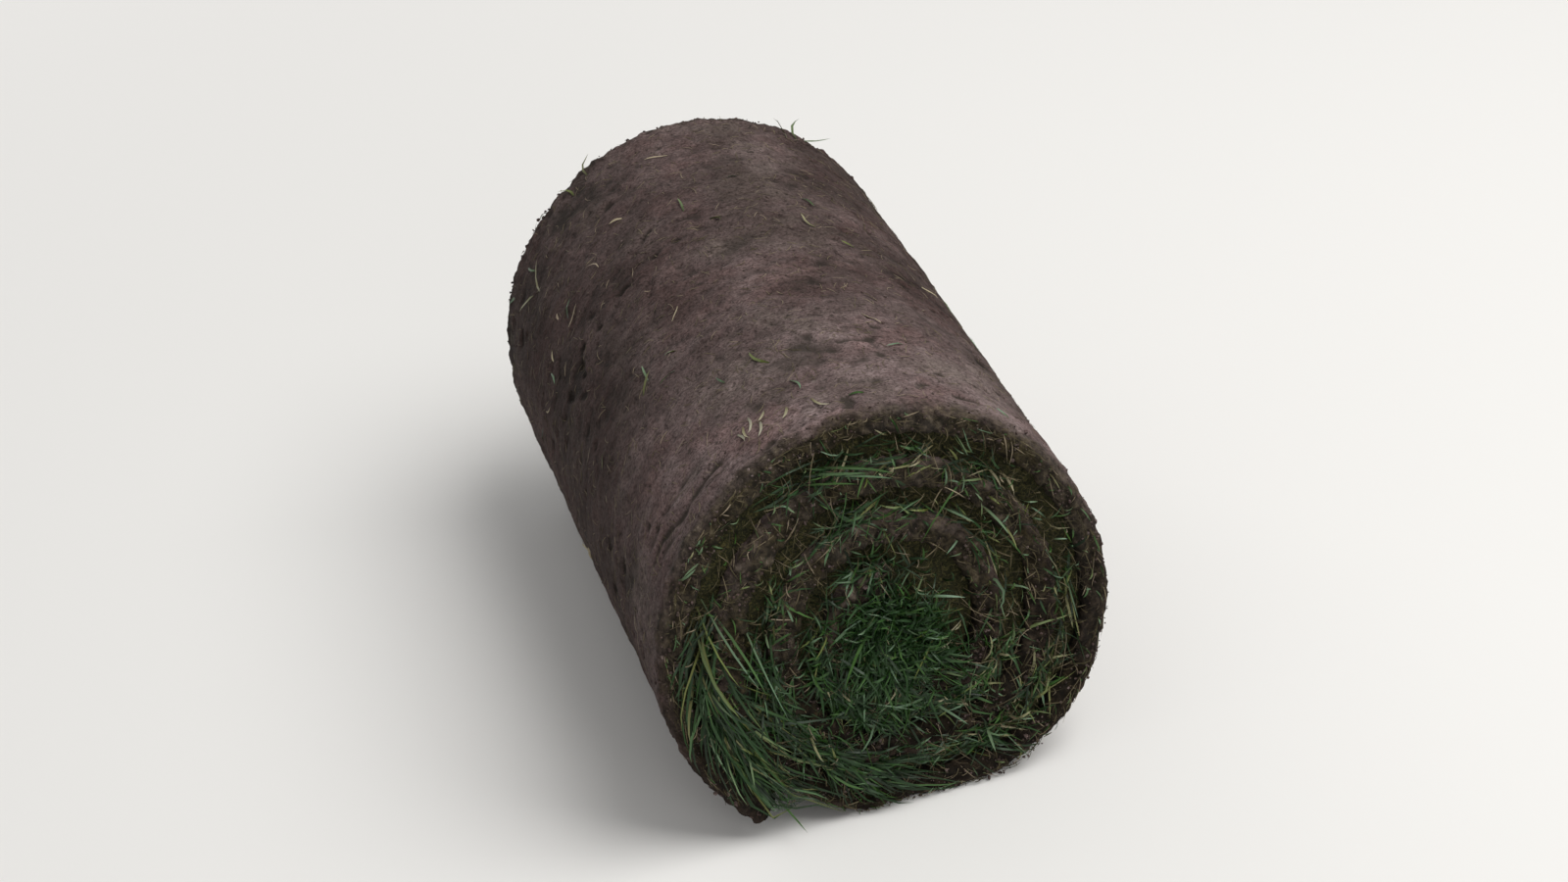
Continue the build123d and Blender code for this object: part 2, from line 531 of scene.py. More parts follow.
for side, name in ((-1, "near_mat_of_thatch"), (1, "far_mat_of_thatch")):
    sheet = flat_sheet((0, 0), (strip_length, 1), round(strip_length / mat_cell), mat_rows)
    if side == 1:
        bmesh.ops.reverse_faces(sheet, faces=sheet.faces)
    mat = new_piece(name, sheet, thatch_material)
    along, share, _ = vertex_array(mat.data).T
    places = gap_places(along, share, side, mat_inset)
    rough = lumps(places, 0.006, 11, 3) * 0.0022 + lumps(places, 0.025, 12) * 0.0015
    places[:, 1] += side * rough
    places[:, 2] = np.maximum(places[:, 2], mat_clearance)
    set_places(mat.data, places)

# The grass round the bore, and the wall of grass a little way in under the lip of the lap
sheet = flat_sheet((0, -mat_length / 2), (1, mat_length / 2), bore_cells, round(mat_length / bore_cell))
lining = new_piece("grass_round_the_bore", sheet, thatch_material)
share, across, _ = vertex_array(lining.data).T
looks_x, looks_z = outward(share * full_turn).T
rough = bore_radius + 0.0012 * lumps(np.stack([looks_x, across * 60, looks_z], 1), 0.4, 13, 2)
x = bore_centre[0] + rough * looks_x
z = bore_centre[2] + rough * looks_z
set_places(lining.data, np.stack([x, leaning_y(across, z), z], 1))

sheet = flat_sheet((0, -mat_length / 2), (1, mat_length / 2), mat_rows, round(strip_width / lap_wall_cell))
lap_wall = new_piece("grass_under_the_lap", sheet, thatch_material)
flat = vertex_array(lap_wall.data)
along = strip_length - lap_wall_inset + 0.002 * lumps(flat, 0.008, 14, 2)
deep = soil_thickness - into_soil + flat[:, 0] * lap_wall_depth
set_places(lap_wall.data, rolled(along, flat[:, 1], deep))

# The grass: blades of mown lawn grass, pressed flat between the turns.
# They come out of the gaps and the core at both ends, lie over the cut soil and hang down, deep
# green to grey green with yellow and straw ones among them.
path_shares = np.array([0.0, 0.3, 0.58, 0.82, 1.0])
path_points = len(path_shares)
width_shares = np.array([0.6, 1.0, 0.95, 0.65])
keel_depth = 0.55
blade_clearance = 0.0006
end_clearance = 0.0015
first_rise = 2.2
rim_gap = 0.001
rim_hold = 0.012
onward_share = 0.7

# Shades from 0 to 1 run from green to straw. Most blades are green, a few grey and some dry.
green_most = 0.56
grey_most = 0.66
yellow_least = 0.7
grey_share = 0.055
blade_tones = [(0.0, "12200d"), (0.3, "1d3d14"), (0.48, "385a20"), (0.62, "607a60"),
               (0.8, "5d662a"), (1.0, "9a9278")]
base_tones = [(0.0, "8f8a63"), (0.3, "d0d0c0"), (0.75, "ffffff")]

# Mown grass: the soft sheen of a leaf, each blade one green and bleached towards its base
grass_material, tree, shader = new_material("mown_grass_blades", roughness=0.5, specular=0.35)
shade = add_node(tree, "ShaderNodeAttribute", attribute_name="shade", out="Fac")
height = add_node(tree, "ShaderNodeAttribute", attribute_name="height", out="Fac")
blade_colour = add_node(tree, "ShaderNodeValToRGB", {"Fac": shade}, stops=blade_tones)
base_colour = add_node(tree, "ShaderNodeValToRGB", {"Fac": height}, stops=base_tones)
grass_colour = add_node(tree, "ShaderNodeMix", {
    "Factor": 1.0, 6: blade_colour, 7: base_colour}, data_type="RGBA", blend_type="MULTIPLY", out=2)
tree.links.new(grass_colour, shader.inputs["Base Color"])


def joined_mesh(name, points, faces):
    """One mesh from an array of points for each copy and the faces of one copy."""
    copies, size = points.shape[:2]
    starts = np.arange(copies) * size
    everything = []
    for face in faces:
        everything += (starts[:, None] + np.array(face)).tolist()
    mesh = bpy.data.meshes.new(name)
    mesh.from_pydata(points.reshape(-1, 3).tolist(), [], everything)
    return mesh


def unit(vectors):
    """Vectors at length 1."""
    return vectors / np.maximum(np.linalg.norm(vectors, axis=-1, keepdims=True), 1e-9)


def make_blades(name, paths, facing, width, shade, twist, slot="grass", material=grass_material):
    """Tapered, keeled blades along paths of five points, each as a closed sliver with a sharp tip."""
    tangent = unit(np.gradient(paths, axis=1))
    facing = np.repeat(facing[:, None, :], path_points, axis=1)
    across = unit(np.cross(tangent, facing))
    facing = np.cross(across, tangent)
    turn = twist[:, None, None] * path_shares[None, :, None]
    across, facing = (across * np.cos(turn) + facing * np.sin(turn),
                      facing * np.cos(turn) - across * np.sin(turn))
    half = width[:, None, None] / 2 * width_shares[None, :, None]
    left = paths[:, :-1] - across[:, :-1] * half
    right = paths[:, :-1] + across[:, :-1] * half
    keel = paths[:, :-1] - facing[:, :-1] * half * keel_depth
    rings = np.stack([left, right, keel], axis=2).reshape(len(paths), -1, 3)
    points = np.concatenate([rings, paths[:, -1:]], axis=1)
    points[:, :, 2] = np.maximum(points[:, :, 2], blade_clearance)
    faces = [(0, 2, 1), (9, 10, 12), (10, 11, 12), (11, 9, 12)]
    for ring in (0, 3, 6):
        faces += [(ring, ring + 1, ring + 4, ring + 3), (ring + 1, ring + 2, ring + 5, ring + 4),
                  (ring + 2, ring, ring + 3, ring + 5)]
    piece = add_piece(name, joined_mesh(name, points, faces), material)
    heights = np.append(np.repeat(path_shares[:-1], 3), 1.0)
    set_attribute(piece.data, "shade", np.repeat(shade, len(heights)))
    set_attribute(piece.data, "height", np.tile(heights, len(paths)))


def stand_off(stand, tip_stand, sunk):
    """How far paths stand off an end of the roll, from sunk in it to a share of stand at the tip."""
    t = path_shares[None, :]
    rise = first_rise * t - (first_rise - tip_stand[:, None]) * t * t
    return stand[:, None] * rise - sunk[:, None] * (1 - t) ** 3


def lifted(rng, count, stand, tip, sunk):
    """Random distances off an end, from the spread of the stand and ranges for its tip and root."""
    stand = rng.gamma(*stand, count)
    tip_stand = rng.uniform(*tip, count)
    return stand_off(stand, tip_stand, rng.uniform(*sunk, count))


outer_rim = rolled(rim_places, 0.0, 0.0)
rim_centre = (outer_rim.max(axis=0) + outer_rim.min(axis=0)) / 2
rim_turned = np.arctan2(outer_rim[:, 2] - rim_centre[2], outer_rim[:, 0] - rim_centre[0])
rim_order = np.argsort(rim_turned)
rim_reach = np.hypot(outer_rim[:, 2] - rim_centre[2], outer_rim[:, 0] - rim_centre[0])


def over_end(side, x, z, off):
    """Points that stand off the leaning end of the roll, within its rim and above the floor."""
    x = x - rim_centre[0]
    z = z - rim_centre[2]
    reach = np.hypot(x, z)
    most = np.interp(np.arctan2(z, x), rim_turned[rim_order], rim_reach[rim_order]) - rim_gap
    near = np.maximum(reach - most + rim_hold, 0)
    held = np.where(near > 0, most - rim_hold * np.exp(-near / rim_hold), reach)
    held = held / np.maximum(reach, hair)
    x = rim_centre[0] + x * held
    z = np.maximum(rim_centre[2] + z * held, end_clearance)
    return np.stack([x, leaning_y(side * half_width, z) + side * off, z], axis=-1)


def fling(root, aim, fall, length):
    """The x and z of paths that start at roots along aim and bend away by fall."""
    t = path_shares[None, :, None]
    run = root[:, None, :] + length[:, None, None] * (aim[:, None, :] * t + fall[:, None, :] * t * t)
    return run[..., 0], run[..., 1]


def curled(root, heading, curl, droop, length):
    """The x and z of paths that start at roots along a heading, turn by curl and sink by droop."""
    steps = np.diff(path_shares)[None, :]
    middles = (path_shares[None, 1:] + path_shares[None, :-1]) / 2
    turned = heading[:, None] + curl[:, None] * middles
    x = np.cumsum(np.cos(turned) * steps, axis=1)
    z = np.cumsum(np.sin(turned) * steps, axis=1)
    run = np.concatenate([np.zeros((len(root), 1, 2)), np.stack([x, z], 2)], axis=1)
    run[..., 1] -= droop[:, None] * path_shares[None, :] ** 2
    places = root[:, None] + run * length[:, None, None]
    return places[..., 0], places[..., 1]


def lengths(rng, count, shortest, usual, evenness):
    """Random lengths from the shortest up, mostly near the usual one and a few much longer."""
    return rng.gamma(evenness, (usual - shortest) / evenness, count) + shortest


def shades(rng, count, dry):
    """Random blade shades, with a share of them dry."""
    green = rng.beta(1.7, 2.6, count) * green_most
    green = np.where(rng.random(count) < grey_share, rng.uniform(green_most, grey_most, count), green)
    yellow = rng.uniform(yellow_least, 1.0, count)
    return np.where(rng.random(count) < dry, yellow, green)


def facing_out(rng, count, side, upward, spread):
    """The ways that blades face: out of the end and somewhat up, each a little differently."""
    x = rng.normal(0, spread, count)
    return np.stack([x, np.full(count, float(side)), rng.normal(upward, spread, count)], 1)


def grown(rng, side, paths, upward, spread, widths, dry, twist):
    """Paths with the way that each blade faces, its width, its shade and how far it twists."""
    count = len(paths)
    facing = facing_out(rng, count, side, upward, spread)
    width = rng.uniform(*widths, count)
    shade = shades(rng, count, dry)
    return paths, facing, width, shade, rng.normal(0, twist, count)


def rooted(rng, count, leftness, tufts, plenty):
    """Distances along the strip where blades root: in tufts, more below, and few at the upper left."""
    along = rng.uniform(0.0, strip_length - 0.03, count * 4)
    angle = np.radians(angle_at(along))
    tufted = lumps(np.stack([along, along * 0, along * 0], 1), 0.016, tufts, 2)
    bare = smooth_step(np.cos(angle - radians(150)), 0.72, 0.95)
    wish = plenty + leftness * (np.cos(angle - radians(208)) - 1.4 * bare) + 0.6 * tufted
    return along[rng.random(len(along)) < wish][:count]


def drier_at_the_right(along, least, more):
    """The share of dry blades among those that root at distances along the strip."""
    return least + more * smooth_step(outward(angle_at(along))[:, 0], -0.2, 0.9)


def lying_blades(side, count, seed, leftness):
    """Blades pressed along a gap between two turns, which show at its mouth and follow its curve."""
    rng = np.random.default_rng(seed)
    along = rooted(rng, count, leftness, tufts=21, plenty=0.25)
    count = len(along)
    way = np.where(rng.random(count) < onward_share, 1.0, -1.0)
    length = lengths(rng, count, shortest=0.005, usual=0.0218, evenness=6)
    share = 0.32 + 0.6 * rng.beta(1.3, 1.1, count)
    drift = rng.normal(0, 0.3, count)
    t = path_shares[None, :]
    runs = np.clip(along[:, None] + (way * length)[:, None] * t, 0, strip_length - 0.012)
    shares = share[:, None] + drift[:, None] * t ** 2
    places = gap_places(runs.ravel(), shares.ravel(), side, 0.0).reshape(count, path_points, 3)
    off = lifted(rng, count, stand=(1.6, 0.0008), tip=(-1.5, 1.2), sunk=(0.003, 0.008))
    paths = over_end(side, places[..., 0], places[..., 2], off)
    dry = drier_at_the_right(along, 0.05, 0.2)
    return grown(rng, side, paths, upward=0.2, spread=0.5, widths=(0.0007, 0.0017), dry=dry, twist=0.8)


def stray_blades(side, count, seed, leftness):
    """Blades that come out of a gap and lie across the cut soil or hang down over it."""
    rng = np.random.default_rng(seed)
    along = rooted(rng, count, leftness, tufts=22, plenty=0.3)
    count = len(along)
    places = gap_places(along, rng.uniform(0.2, 0.95, count), side, 0.0)
    way = np.where(rng.random(count) < onward_share, 1.0, -1.0)
    onward = outward(angle_at(along) + quarter) * (way * rng.uniform(0.2, 1.0, count))[:, None]
    aim = unit(onward + outward(angle_at(along)) * rng.normal(0, 0.5, count)[:, None])
    fall = np.stack([rng.normal(0, 0.2, count), -rng.uniform(0.0, 0.6, count)], 1)
    length = lengths(rng, count, shortest=0.005, usual=0.0194, evenness=4)
    x, z = fling(places[:, [0, 2]], aim, fall, length)
    off = lifted(rng, count, stand=(2.0, 0.0011), tip=(0.0, 1.4), sunk=(0.004, 0.011))
    dry = drier_at_the_right(along, 0.08, 0.22)
    return grown(rng, side, over_end(side, x, z, off), upward=0.3, spread=0.5,
                 widths=(0.0007, 0.0016), dry=dry, twist=0.9)


def core_blades(side, count, seed):
    """The tuft that comes out of the core and the first gap, curls every way and flops down."""
    rng = np.random.default_rng(seed)
    turned = rng.uniform(0, 2 * pi, count)
    from_core = rng.random(count) < 0.68
    reach = np.where(from_core, 0.02 * np.sqrt(rng.random(count)), rng.uniform(0.036, 0.046, count))
    lower = 0.5 - 0.5 * np.sin(turned + 0.9)
    kept = (reach < 0.03) | (rng.random(count) < 0.06 + 0.34 * lower)
    turned = turned[kept]
    count = len(turned)
    root = bore_centre[[0, 2]] + reach[kept][:, None] * outward(np.degrees(turned))
    heading = turned + rng.normal(1.3, 1.7, count)
    length = lengths(rng, count, shortest=0.004, usual=0.0208, evenness=6)
    curl = rng.normal(0.7, 1.5, count)
    x, z = curled(root, heading, curl, rng.uniform(-0.15, 0.4, count), length)
    off = lifted(rng, count, stand=(3.0, 0.0016), tip=(0.0, 1.3), sunk=(0.006, 0.03))
    paths, facing, width, shade, twist = grown(
        rng, side, over_end(side, x, z, off), upward=0.4, spread=0.6, widths=(0.0008, 0.0018),
        dry=0.03, twist=1.2)
    return paths, facing, width, shade * 0.92 + 0.06, twist


def hanging_blades(side, count, seed):
    """Long blades that hang from the outer gap on the left, and shorter ones from it below."""
    rng = np.random.default_rng(seed)
    long = rng.random(count) < 0.45
    looks = np.where(long, rng.normal(183, 11, count), rng.normal(222, 26, count))
    deeper = (looks > lap_direction - 8) | (rng.random(count) < 0.07)
    along = along_at(lap_angle - lap_direction + looks - np.where(deeper, full_turn, 0))
    places = gap_places(along, rng.uniform(0.2, 0.95, count), side, 0.0)
    onward = outward(looks + quarter) * rng.uniform(0.6, 1.0, count)[:, None]
    aim = unit(onward + rng.normal(0, 0.32, (count, 2)))
    fall = np.stack([rng.normal(0.22, 0.16, count), -rng.uniform(0.0, 0.3, count)], 1)
    length = rng.gamma(6.0, 0.0044, count) * np.where(long, 1.4, 0.75) + 0.006
    x, z = fling(places[:, [0, 2]], aim, fall, length)
    off = lifted(rng, count, stand=(3.0, 0.0012), tip=(0.1, 1.2), sunk=(0.004, 0.01))
    # Painted shade: blades hanging from low on the roll, towards the floor, are drawn a deeper green where
    # shade falls under it, and the rest a little deeper
    shade = shades(rng, count, 0.2) * np.where(looks > 215, 0.6, 0.92)
    facing = facing_out(rng, count, side, upward=0.2, spread=0.45)
    width = rng.uniform(0.0008, 0.0017, count)
    return over_end(side, x, z, off), facing, width, shade, rng.normal(0, 0.7, count)


def out_of_soil(angle):
    """The way that the soil face looks at angles in degrees, as x, y and z."""
    return np.insert(outward(angle), 1, 0.0, axis=-1)


def lap_blades(count, seed):
    """Short blades that show along the roll under the lip of the lap."""
    rng = np.random.default_rng(seed)
    along = strip_length - rng.uniform(0.002, 0.012, count)
    across = rng.uniform(-half_width + 0.006, half_width - 0.006, count)
    deep = rng.uniform(soil_thickness + 0.001, soil_thickness + 0.009, count)
    length = lengths(rng, count, shortest=0.004, usual=0.017, evenness=5)
    sideways = rng.normal(0, 0.5, count) * length
    rise = rng.uniform(-0.1, 0.5, count) * length
    t = path_shares[None, :, None]
    run = length[:, None, None] * out_of_soil(lap_angle + quarter) * t
    run += rise[:, None, None] * out_of_soil(lap_angle) * t ** 2
    run[..., 1] += sideways[:, None] * path_shares
    facing = out_of_soil(lap_angle) + rng.normal(0, 0.3, (count, 3))
    width = rng.uniform(0.001, 0.002, count)
    shade = shades(rng, count, 0.2)
    return rolled(along, across, deep)[:, None] + run, facing, width, shade, rng.normal(0, 0.6, count)


make_blades("near_blades_along_the_gaps", *lying_blades(-1, count=1950, seed=31, leftness=0.36))
make_blades("near_stray_blades", *stray_blades(-1, count=420, seed=36, leftness=0.3))
make_blades("near_tuft_in_the_core", *core_blades(-1, count=1900, seed=32))
make_blades("near_hanging_blades", *hanging_blades(-1, count=350, seed=33))
make_blades("far_blades_along_the_gaps", *lying_blades(1, count=1900, seed=34, leftness=0.05))
make_blades("far_stray_blades", *stray_blades(1, count=420, seed=37, leftness=0.05))
make_blades("far_tuft_in_the_core", *core_blades(1, count=1400, seed=35))
make_blades("blades_under_the_lap", *lap_blades(count=700, seed=38))

# Dead grass, roots and clippings.
# Brown and straw thatch lies over both ends, fine pale roots lie in the brushed soil, and a few
# clippings of grass and straw have dropped on it.
fibre_length = 0.013
fibre_width = 0.0006
scrap_length = 0.011
scrap_width = 0.0011
clipping_width = 0.0014
clipping_lift = 0.0008
fibre_tones = [(0.0, "2b2619"), (0.4, "4a432c"), (0.62, "6a5f4a"), (0.85, "8b7d6a"), (1.0, "b3a888")]

# Dead grass and roots: dry and matt, from rotted brown to bleached straw
fibre_material, tree, shader = new_material("dead_grass_and_roots", roughness=0.8, specular=0.25)
shade = add_node(tree, "ShaderNodeAttribute", attribute_name="shade", out="Fac")
fibre_colour = add_node(tree, "ShaderNodeValToRGB", {"Fac": shade}, stops=fibre_tones)
tree.links.new(fibre_colour, shader.inputs["Base Color"])


def thatch_fibres(side, count, seed, longest, width, shade):
    """Thin curled bits of dead grass or blades over an end, on the soil and in the gaps alike."""
    rng = np.random.default_rng(seed)
    along = rng.uniform(0.0, strip_length - 0.02, count)
    share = rng.uniform(-1.0, 1.0, count)
    places = gap_places(along, share, side, 0.0)
    aim = outward(rng.uniform(0, full_turn, count))
    fall = rng.normal(0, 0.5, (count, 2)) - [0, 0.25]
    length = longest * rng.beta(2.0, 3.0, count) + 0.002
    x, z = fling(places[:, [0, 2]], aim, fall, length)
    sunk = np.where(share > 0, 0.006, 0.0005)
    stand = rng.gamma(2.0, 0.0007, count) + 0.0006
    off = stand_off(stand, rng.uniform(0.2, 1.2, count), sunk)
    facing = facing_out(rng, count, side, upward=0.2, spread=0.6)
    width = width * rng.uniform(0.5, 1.1, count)
    shade = shade[0] + (shade[1] - shade[0]) * rng.beta(1.5, 2.5, count)
    return over_end(side, x, z, off), facing, width, shade, rng.normal(0, 1.2, count)


def on_soil(along, across, lift):
    """Points lifted off the soil of the outer turn, at places along and across the strip."""
    strip = np.stack([along, across, along * 0], 1)
    inset = np.minimum(half_width - np.abs(across), strip_length - along)
    return rolled(along, across, -(lift + soil_relief(strip, inset)))


def over_soil(along, across, heading, bend, length, lift, tip_lift):
    """Paths over the soil of the outer turn, which turn by bend and rise by lift and at the tip."""
    t = path_shares[None, :]
    turned = heading[:, None] + bend[:, None] * t
    alongs = along[:, None] + length[:, None] * np.cos(turned) * t
    alongs = np.clip(alongs, outer_turn + 0.02, strip_length - 0.004)
    acrosses = across[:, None] + length[:, None] * np.sin(turned) * t
    acrosses = np.clip(acrosses, -half_width + 0.002, half_width - 0.002)
    lifts = lift[:, None] * (0.3 + 1.4 * t * (1.4 - t)) + tip_lift[:, None] * t ** 2
    return on_soil(alongs.ravel(), acrosses.ravel(), lifts.ravel()).reshape(-1, path_points, 3)


def facing_up(rng, along):
    """The ways that fibres and clippings on the soil face: away from it, each a little differently."""
    return out_of_soil(angle_at(along)) + rng.normal(0, 0.25, (len(along), 3))


def strewn(count, seed, longest, spread, width, shade, lift):
    """Fibres or clippings strewn over the soil of the outer turn, curving a little as they lie."""
    rng = np.random.default_rng(seed)
    along = rng.uniform(outer_turn + 0.03, strip_length - 0.02, count)
    across = rng.uniform(-half_width + 0.008, half_width - 0.008, count)
    heading = rng.normal(0, spread, count) + np.where(rng.random(count) < 0.5, 0, pi)
    length = longest * rng.uniform(0.35, 1.0, count)
    lifts = lift * (0.4 + rng.random(count))
    paths = over_soil(along, across, heading, rng.normal(0, 0.4, count), length, lifts, lifts * 0)
    facing = facing_up(rng, along)
    width = width * rng.uniform(0.6, 1.2, count)
    return paths, facing, width, rng.uniform(*shade, count), rng.normal(0, 0.6, count)


# Clippings that stand out, listed one by one as angle, across, heading, bend, length, tip lift and
# shade. In this list and the next one, angles and headings are in degrees and lengths in millimetres.
soil_clippings = np.array([
    (54, 186, 60, 0.6, 18, 9, 0.72), (58, 180, 100, -0.8, 14, 6, 0.84),
    (51, 190, 150, 0.5, 15, 10, 0.70), (147, 142, 75, 0.9, 21, 4, 0.95),
    (150, 150, 55, -0.6, 15, 3, 0.90), (118, 188, 70, 0.8, 19, 4, 0.86),
    (124, 180, 100, -0.7, 14, 3, 0.80), (113, -157, 262, 0.3, 22, 4, 1.00),
    (115, -163, 285, -0.3, 20, 4, 1.00), (117, -166, 245, 0.3, 16, 3, 0.98),
    (111, -168, 268, 0.3, 18, 3, 0.99), (109, -160, 280, 0.2, 14, 3, 1.00),
    (104, -168, 275, 0.3, 14, 3, 0.98), (98, -172, 264, -0.3, 17, 3, 0.99),
    (102, -118, 40, 0.5, 19, 1, 0.80), (70, 30, 20, 0.7, 13, 3, 0.92), (96, 60, 200, 0.8, 12, 2, 0.78),
    (133, -60, 120, 0.6, 14, 3, 0.85)])

# Blades that it picks out on the near end, as x and z from the middle, heading, curl, length and shade
end_blades = np.array([
    (44, 62, 78, 0.3, 15, 0.64), (54, 74, 100, 0.4, 16, 0.82), (-102, 68, 95, 0.2, 13, 0.64),
    (-97, 60, 80, 0.3, 11, 0.66), (-107, 62, 102, -0.4, 10, 0.90), (-91, 80, 112, 0.4, 12, 0.63),
    (-30, 89, 5, -0.35, 34, 0.53), (-24, 92, 2, -0.3, 30, 0.50), (-20, 86, 3, -0.4, 36, 0.57),
    (-12, 90, -3, -0.4, 30, 0.49), (-34, 84, 10, -0.4, 30, 0.46), (-118, 52, 8, 0.3, 19, 0.65),
    (12, 78, 125, 0.0, 6, 0.99), (14, 78, 60, 0.0, 7, 0.99), (-98, 34, -74, 0.2, 58, 0.63),
    (-101, 30, -86, 0.45, 46, 0.78), (-93, 24, -62, -0.2, 50, 0.50), (-104, 18, -95, 0.7, 52, 0.74),
    (-106, -52, 80, 0.8, 7, 1.0), (62, 48, -40, -0.5, 22, 0.66), (72, 36, -55, -0.5, 18, 0.84),
    (40, 52, -20, -0.4, 20, 0.63), (16, -59, -34, -0.2, 26, 0.63), (70, -4, 20, -1.2, 14, 0.66),
    (-13, -4, -75, 0.2, 34, 0.63), (-18, -14, -80, 0.3, 16, 0.82), (20, 3, 8, -0.5, 26, 0.62),
    (58, 6, -5, -2.4, 24, 0.64), (47, -82, -88, 0.2, 16, 0.66), (-79, 18, -80, 0.15, 62, 0.62)])
straw_shade = 0.85
end_blade_droop = 0.05


def picked_from_soil(seed, green):
    """The picked-out clippings on the soil, the green ones or the straw ones."""
    rng = np.random.default_rng(seed)
    chosen = soil_clippings[(soil_clippings[:, 6] < straw_shade) == green]
    angle, across, heading, bend, length, tip_lift, shade = chosen.T
    across, length, tip_lift = across / 1000, length / 1000, tip_lift / 1000
    along = along_at(lap_angle - lap_direction + angle)
    lift = np.full(len(along), clipping_lift)
    paths = over_soil(along, across, np.radians(heading), bend, length, lift, tip_lift)
    facing = facing_up(rng, along)
    width = clipping_width + 0.0005 * rng.random(len(along))
    return paths, facing, width, shade, rng.normal(0, 0.5, len(along))


def picked_from_end(seed):
    """The picked-out blades on the near end."""
    rng = np.random.default_rng(seed)
    x, z, heading, curl, length, shade = end_blades.T
    x, z, length = x / 1000, z / 1000, length / 1000
    count = len(length)
    root = np.stack([rim_centre[0] + x, rim_centre[2] + z], 1)
    x, z = curled(root, np.radians(heading), curl, np.full(count, end_blade_droop), length)
    off = stand_off(length * 0.1 + 0.002, rng.uniform(0.5, 1.3, count), np.full(count, 0.003))
    facing = facing_out(rng, count, -1, upward=0.3, spread=0.2)
    width = 0.0011 + 0.0006 * rng.random(count)
    return over_end(-1, x, z, off), facing, width, shade, rng.normal(0, 0.6, count)


make_blades("picked_green_clippings", *picked_from_soil(48, green=True))
make_blades("picked_straw_clippings", *picked_from_soil(49, green=False))
make_blades("picked_blades_on_the_near_end", *picked_from_end(50))
for side, count, seed, name in ((-1, 2600, 41, "near_thatch_fibres"), (1, 2200, 42, "far_thatch_fibres")):
    fibres = thatch_fibres(side, count, seed, fibre_length, fibre_width, shade=(0.0, 0.95))
    make_blades(name, *fibres, material=fibre_material)
for side, seed, name in ((-1, 46, "near_scraps_of_grass"), (1, 47, "far_scraps_of_grass")):
    make_blades(name, *thatch_fibres(side, 520, seed, scrap_length, scrap_width, shade=(0.25, 1.0)))
roots = strewn(3600, 43, longest=0.010, spread=1.1, width=0.00038, shade=(0.4, 0.8), lift=0.0004)
make_blades("roots_in_the_soil", *roots, slot="soil", material=fibre_material)
straws = strewn(34, 44, longest=0.017, spread=1.2, width=clipping_width, shade=(0.85, 1.0), lift=0.0012)
make_blades("straw_clippings", *straws, material=fibre_material)
greens = strewn(30, 45, longest=0.018, spread=1.2, width=clipping_width, shade=(0.3, 0.9), lift=0.0012)
make_blades("green_clippings", *greens)

# Crumbs of soil that have come loose at the rims and lie on the roll.
# They are the same loam as the strip, broken off its cut edges as it was rolled up and carried, and
# they lie half sunk in the felt.
crumbs_on_soil = 1900
crumbs_on_end = 2200
crumb_least = 0.0005
end_crumb_least = 0.0004
crumb_sheet = bmesh.new()
bmesh.ops.create_icosphere(crumb_sheet, subdivisions=1, radius=1.0)
crumb_points = np.array([vert.co for vert in crumb_sheet.verts])
crumb_faces = [[vert.index for vert in face.verts] for face in crumb_sheet.faces]
crumb_sheet.free()


def make_crumbs(name, places, size, seed):
    """Uneven little lumps at places, each squashed a little differently."""
    rng = np.random.default_rng(seed)
    count = len(places)
    shape = crumb_points[None] * (1 + rng.normal(0, 0.16, (count, len(crumb_points), 1)))
    shape = shape * rng.uniform(0.45, 1.15, (count, 1, 3)) * size[:, None, None]
    points = places[:, None] + shape
    points[:, :, 2] = np.maximum(points[:, :, 2], soil_clearance)
    piece = add_piece(name, joined_mesh(name, points, crumb_faces), soil_material)
    set_attribute(piece.data, "strip", points.reshape(-1, 3) + [0.7, 0.2, 0.1])
    for attribute, low, high in (("relief", -0.4, 0.4), ("damp_and_shade", 0.0, 0.8), ("cut", 0.0, 0.7)):
        values = rng.uniform(low, high, count)
        set_attribute(piece.data, attribute, np.repeat(values, len(crumb_points)))


rng = np.random.default_rng(51)
along = rng.uniform(outer_turn + 0.03, strip_length - 0.004, crumbs_on_soil)
near_rim = rng.random(crumbs_on_soil) < 0.15
at_rim = (half_width - rng.gamma(1.5, 0.006, crumbs_on_soil) - 0.001) * rng.choice([-1, 1], crumbs_on_soil)
anywhere = rng.uniform(-half_width + 0.004, half_width - 0.004, crumbs_on_soil)
across = np.clip(np.where(near_rim, at_rim, anywhere), -half_width + 0.001, half_width - 0.001)
size = crumb_least + rng.gamma(1.5, 0.00026, crumbs_on_soil)
make_crumbs("crumbs_on_the_soil", on_soil(along, across, size * -0.45), size, 52)
for side, name, seed in ((-1, "crumbs_on_the_near_end", 53), (1, "crumbs_on_the_far_end", 54)):
    rng = np.random.default_rng(seed)
    along = rng.uniform(0.002, strip_length - 0.004, crumbs_on_end)
    deep = rng.uniform(0.001, soil_thickness - 0.001, crumbs_on_end)
    places = rolled(along, side * half_width, deep)
    places[:, 1] -= side * end_crumb_least
    size = end_crumb_least + rng.gamma(1.5, 0.00022, crumbs_on_end)
    make_crumbs(name, places, size, seed + 10)

# The floor and the world, which aren't part of the roll.
# A plain pale studio floor that keeps the roll's shadow, and runs into an even pale backdrop.
floor_reach = 6.0
floor_colour = "e2e0dc"
backdrop_colour = "e9e7e4"
backdrop_from = 0.6
backdrop_full = 2.2
studio_colour = "f4f5f7"
studio_strength = 0.36

